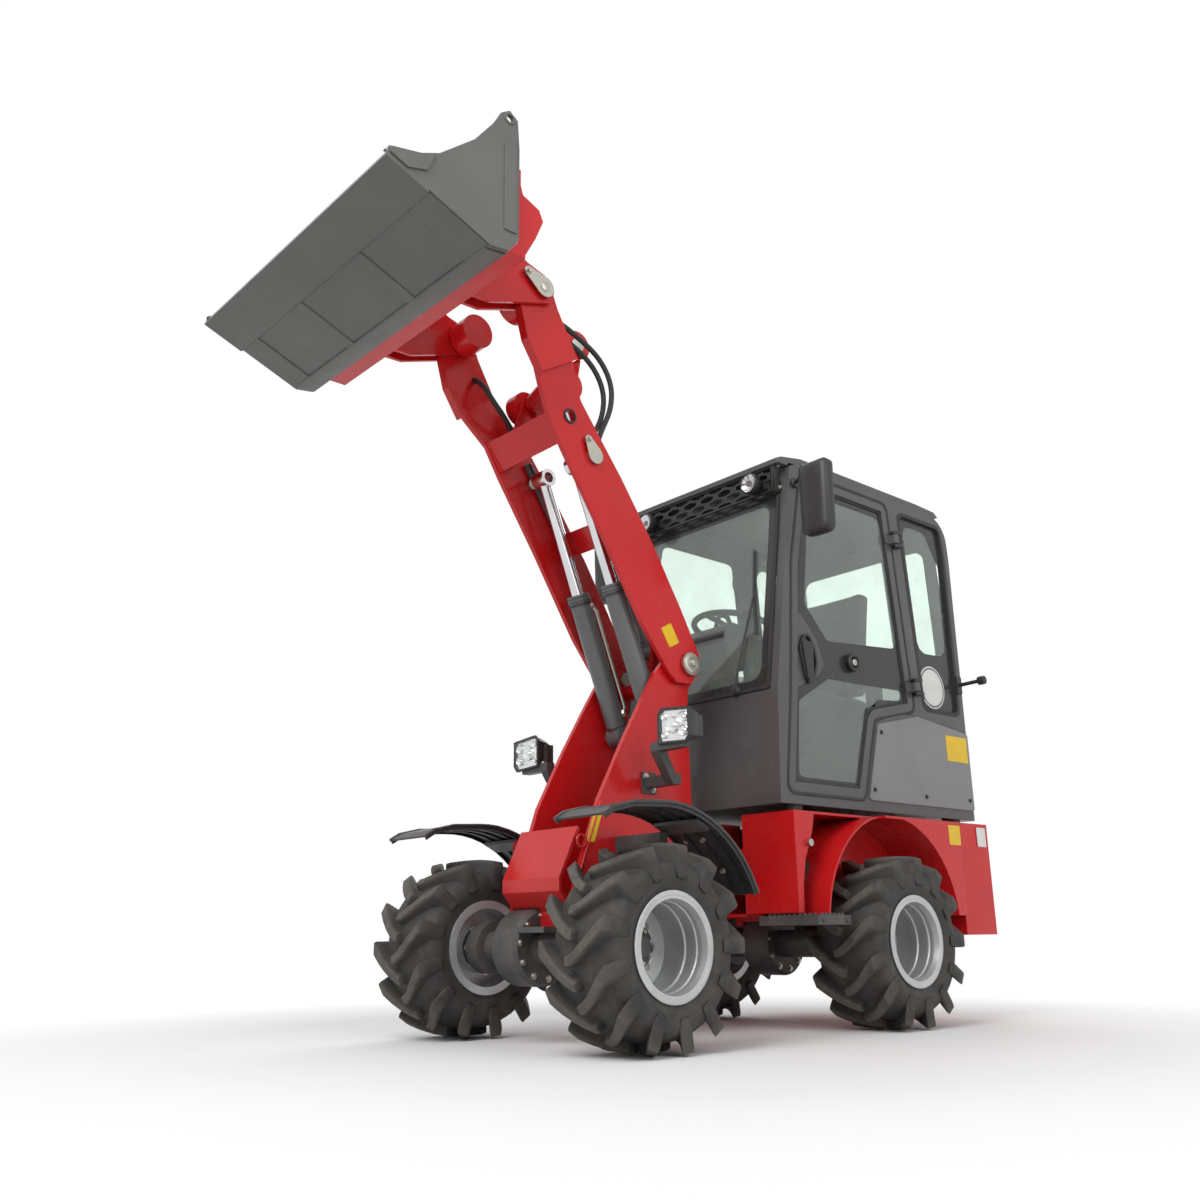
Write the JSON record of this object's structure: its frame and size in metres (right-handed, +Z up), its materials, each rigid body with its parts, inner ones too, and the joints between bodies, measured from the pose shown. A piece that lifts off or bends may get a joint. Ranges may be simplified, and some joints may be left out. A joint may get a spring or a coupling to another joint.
{
  "type": "compact articulated wheel loader",
  "caption": "Compact articulated wheel loader with a glazed cab, raised boom, tilt linkage and a bucket on a quick coupler, on wide lugged tyres.",
  "frame": {"origin": "on the ground at the middle of the machine's length and width", "axes": "+X forward, +Y to the driver's left, +Z up"},
  "size_m": [3.3928, 1.426, 3.0947],
  "materials": {
    "red_paint": "gloss paint",
    "cab_paint": "satin paint",
    "panel_grey": "satin paint",
    "bucket_grey": "satin paint, worn",
    "dark_steel": "matte paint",
    "rim_silver": "silver paint",
    "tyre_rubber": "matte rubber",
    "glass": "clear",
    "black_plastic": "textured",
    "zinc": "zinc plated",
    "rod_chrome": "hard chrome",
    "cylinder_grey": "satin paint",
    "seat_fabric": "woven",
    "lamp": "clear lens",
    "red_lens": "clear red lens",
    "yellow_paint": "gloss paint",
    "rubber": "matte"
  },
  "bodies": {
    "rear_frame": {"rear_chassis": "red_paint", "counterweight": "red_paint", "battery_block": "dark_steel", "articulation_pins": "zinc", "rear_axle": "dark_steel", "steps": "dark_steel", "cab_frame": "cab_paint", "cab_floor": "cab_paint", "cab_front_panel": "cab_paint", "cab_windows": "glass", "cab_roof": "cab_paint", "roof_visor": "black_plastic", "work_lamps": "lamp", "side_panels": "panel_grey", "cab_mounts": "rubber", "mirrors": "black_plastic", "seat_base": "dark_steel", "seat_pads": "seat_fabric", "steering_column": "black_plastic", "tail_lamps": "red_lens", "door_hinges": "black_plastic"},
    "front_frame": {"front_chassis": "red_paint", "front_axle": "dark_steel", "front_pins": "zinc", "front_fenders": "black_plastic", "front_brackets": "dark_steel", "headlamps": "lamp", "safety_strut": "yellow_paint"},
    "boom": {"boom": "red_paint", "lift_head_pins": "zinc", "boom_hoses": "rubber"},
    "coupler_pins": {"coupler_pins": "zinc"},
    "bucket": {"coupler": "red_paint", "bucket": "bucket_grey"},
    "lever_pin": {"lever_pin": "zinc"},
    "tilt_lever": {"tilt_lever": "red_paint"},
    "link_pin": {"link_pin": "zinc"},
    "tilt_link": {"tilt_link": "red_paint"},
    "tilt_base_pin": {"tilt_base_pin": "zinc"},
    "tilt_barrel": {"tilt_barrel": "cylinder_grey"},
    "tilt_rod": {"tilt_rod": "rod_chrome"},
    "lift_barrels": {"lift_barrels": "cylinder_grey"},
    "lift_rods": {"lift_rods": "rod_chrome"},
    "door_left": {"door_left": "cab_paint", "door_glass_left": "glass", "door_handle_left": "black_plastic"},
    "door_right": {"door_right": "cab_paint", "door_glass_right": "glass", "door_handle_right": "black_plastic"},
    "wheel_front_left": {"tyre_front_left": "tyre_rubber", "rim_front_left": "rim_silver"},
    "wheel_front_right": {"tyre_front_right": "tyre_rubber", "rim_front_right": "rim_silver"},
    "wheel_rear_left": {"tyre_rear_left": "tyre_rubber", "rim_rear_left": "rim_silver"},
    "wheel_rear_right": {"tyre_rear_right": "tyre_rubber", "rim_rear_right": "rim_silver"}
  },
  "joints": [
    {"name": "steering", "type": "hinge", "parent": "rear_frame", "child": "front_frame", "pos_m": [-0.15138, 0, 0.61666], "axis": [0, 0, 1], "range_deg": [-38, 38]},
    {"name": "boom_lift", "type": "hinge", "parent": "front_frame", "child": "boom", "pos_m": [-0.04038, 0, 1.40766], "axis": [0, -1, 0], "range_deg": [-102, 0]},
    {"name": "coupler_level", "type": "hinge", "parent": "boom", "child": "coupler_pins", "pos_m": [0.78563, 0, 2.74666], "axis": [0, -1, 0], "range_deg": [-1, 87.7]},
    {"name": "bucket_tilt", "type": "hinge", "parent": "coupler_pins", "child": "bucket", "pos_m": [0.78563, 0, 2.74666], "axis": [0, 1, 0], "range_deg": [-26, 58]},
    {"name": "lever_level", "type": "hinge", "parent": "boom", "child": "lever_pin", "pos_m": [0.53663, 0, 2.47966], "axis": [0, -1, 0], "range_deg": [-1, 87.7]},
    {"name": "lever_turn", "type": "hinge", "parent": "lever_pin", "child": "tilt_lever", "pos_m": [0.53663, 0, 2.47966], "axis": [0, 1, 0], "range_deg": [-27, 59]},
    {"name": "link_pin_turn", "type": "hinge", "parent": "tilt_lever", "child": "link_pin", "pos_m": [0.43762, 0, 2.71266], "axis": [0, 1, 0], "range_deg": [-59, 27]},
    {"name": "link_level", "type": "hinge", "parent": "link_pin", "child": "tilt_link", "pos_m": [0.43762, 0, 2.71266], "axis": [0, -1, 0], "range_deg": [-87.7, 1]},
    {"name": "tilt_base_swing", "type": "hinge", "parent": "front_frame", "child": "tilt_base_pin", "pos_m": [-0.05137, 0, 1.51666], "axis": [0, -1, 0], "range_deg": [-105.89, 1]},
    {"name": "tilt_barrel_swing", "type": "hinge", "parent": "tilt_base_pin", "child": "tilt_barrel", "pos_m": [-0.05137, 0, 1.51666], "axis": [0, 1, 0], "range_deg": [-3.01, 5.49]},
    {"name": "tilt_rod_slide", "type": "slide", "parent": "tilt_barrel", "child": "tilt_rod", "axis": [0.4344, 0, 0.9007], "range_m": [-0.0394, 0.0842]},
    {"name": "lift_swing", "type": "hinge", "parent": "front_frame", "child": "lift_barrels", "pos_m": [0.05362, 0, 1.14966], "axis": [0, -1, 0], "range_deg": [-104.42, 1]},
    {"name": "lift_rod_slide", "type": "slide", "parent": "lift_barrels", "child": "lift_rods", "axis": [0.3621, 0, 0.9321], "range_m": [-0.4293, 0.003]},
    {"name": "door_left_hinge", "type": "hinge", "parent": "rear_frame", "child": "door_left", "pos_m": [-1.22535, 0.49, 1.31121], "axis": [0.0923, 0, 0.9957], "range_deg": [0, 100]},
    {"name": "door_right_hinge", "type": "hinge", "parent": "rear_frame", "child": "door_right", "pos_m": [-1.22535, -0.49, 1.31121], "axis": [-0.0923, 0, -0.9957], "range_deg": [0, 100]},
    {"name": "wheel_front_left_spin", "type": "hinge", "parent": "front_frame", "child": "wheel_front_left", "pos_m": [0.51663, 0.505, 0.32966], "axis": [0, 1, 0], "continuous": true},
    {"name": "wheel_front_right_spin", "type": "hinge", "parent": "front_frame", "child": "wheel_front_right", "pos_m": [0.51663, -0.505, 0.32966], "axis": [0, 1, 0], "continuous": true},
    {"name": "wheel_rear_left_spin", "type": "hinge", "parent": "rear_frame", "child": "wheel_rear_left", "pos_m": [-0.81937, 0.505, 0.32966], "axis": [0, 1, 0], "continuous": true},
    {"name": "wheel_rear_right_spin", "type": "hinge", "parent": "rear_frame", "child": "wheel_rear_right", "pos_m": [-0.81937, -0.505, 0.32966], "axis": [0, 1, 0], "continuous": true}
  ],
  "couplings": [
    {"joint": "coupler_level", "follows": "boom_lift", "ratio": -0.85},
    {"joint": "lever_level", "follows": "boom_lift", "ratio": -0.85},
    {"joint": "lever_turn", "follows": "bucket_tilt", "ratio": 1},
    {"joint": "link_pin_turn", "follows": "bucket_tilt", "ratio": -1},
    {"joint": "link_level", "follows": "boom_lift", "ratio": 0.85},
    {"joint": "tilt_base_swing", "follows": "boom_lift", "ratio": 1.0284},
    {"joint": "tilt_barrel_swing", "follows": "bucket_tilt", "ratio": 0.07734},
    {"joint": "tilt_rod_slide", "follows": "bucket_tilt", "m_per_rad": 0.080209},
    {"joint": "lift_swing", "follows": "boom_lift", "ratio": 1.0139},
    {"joint": "lift_rod_slide", "follows": "boom_lift", "m_per_rad": 0.23944}
  ]
}
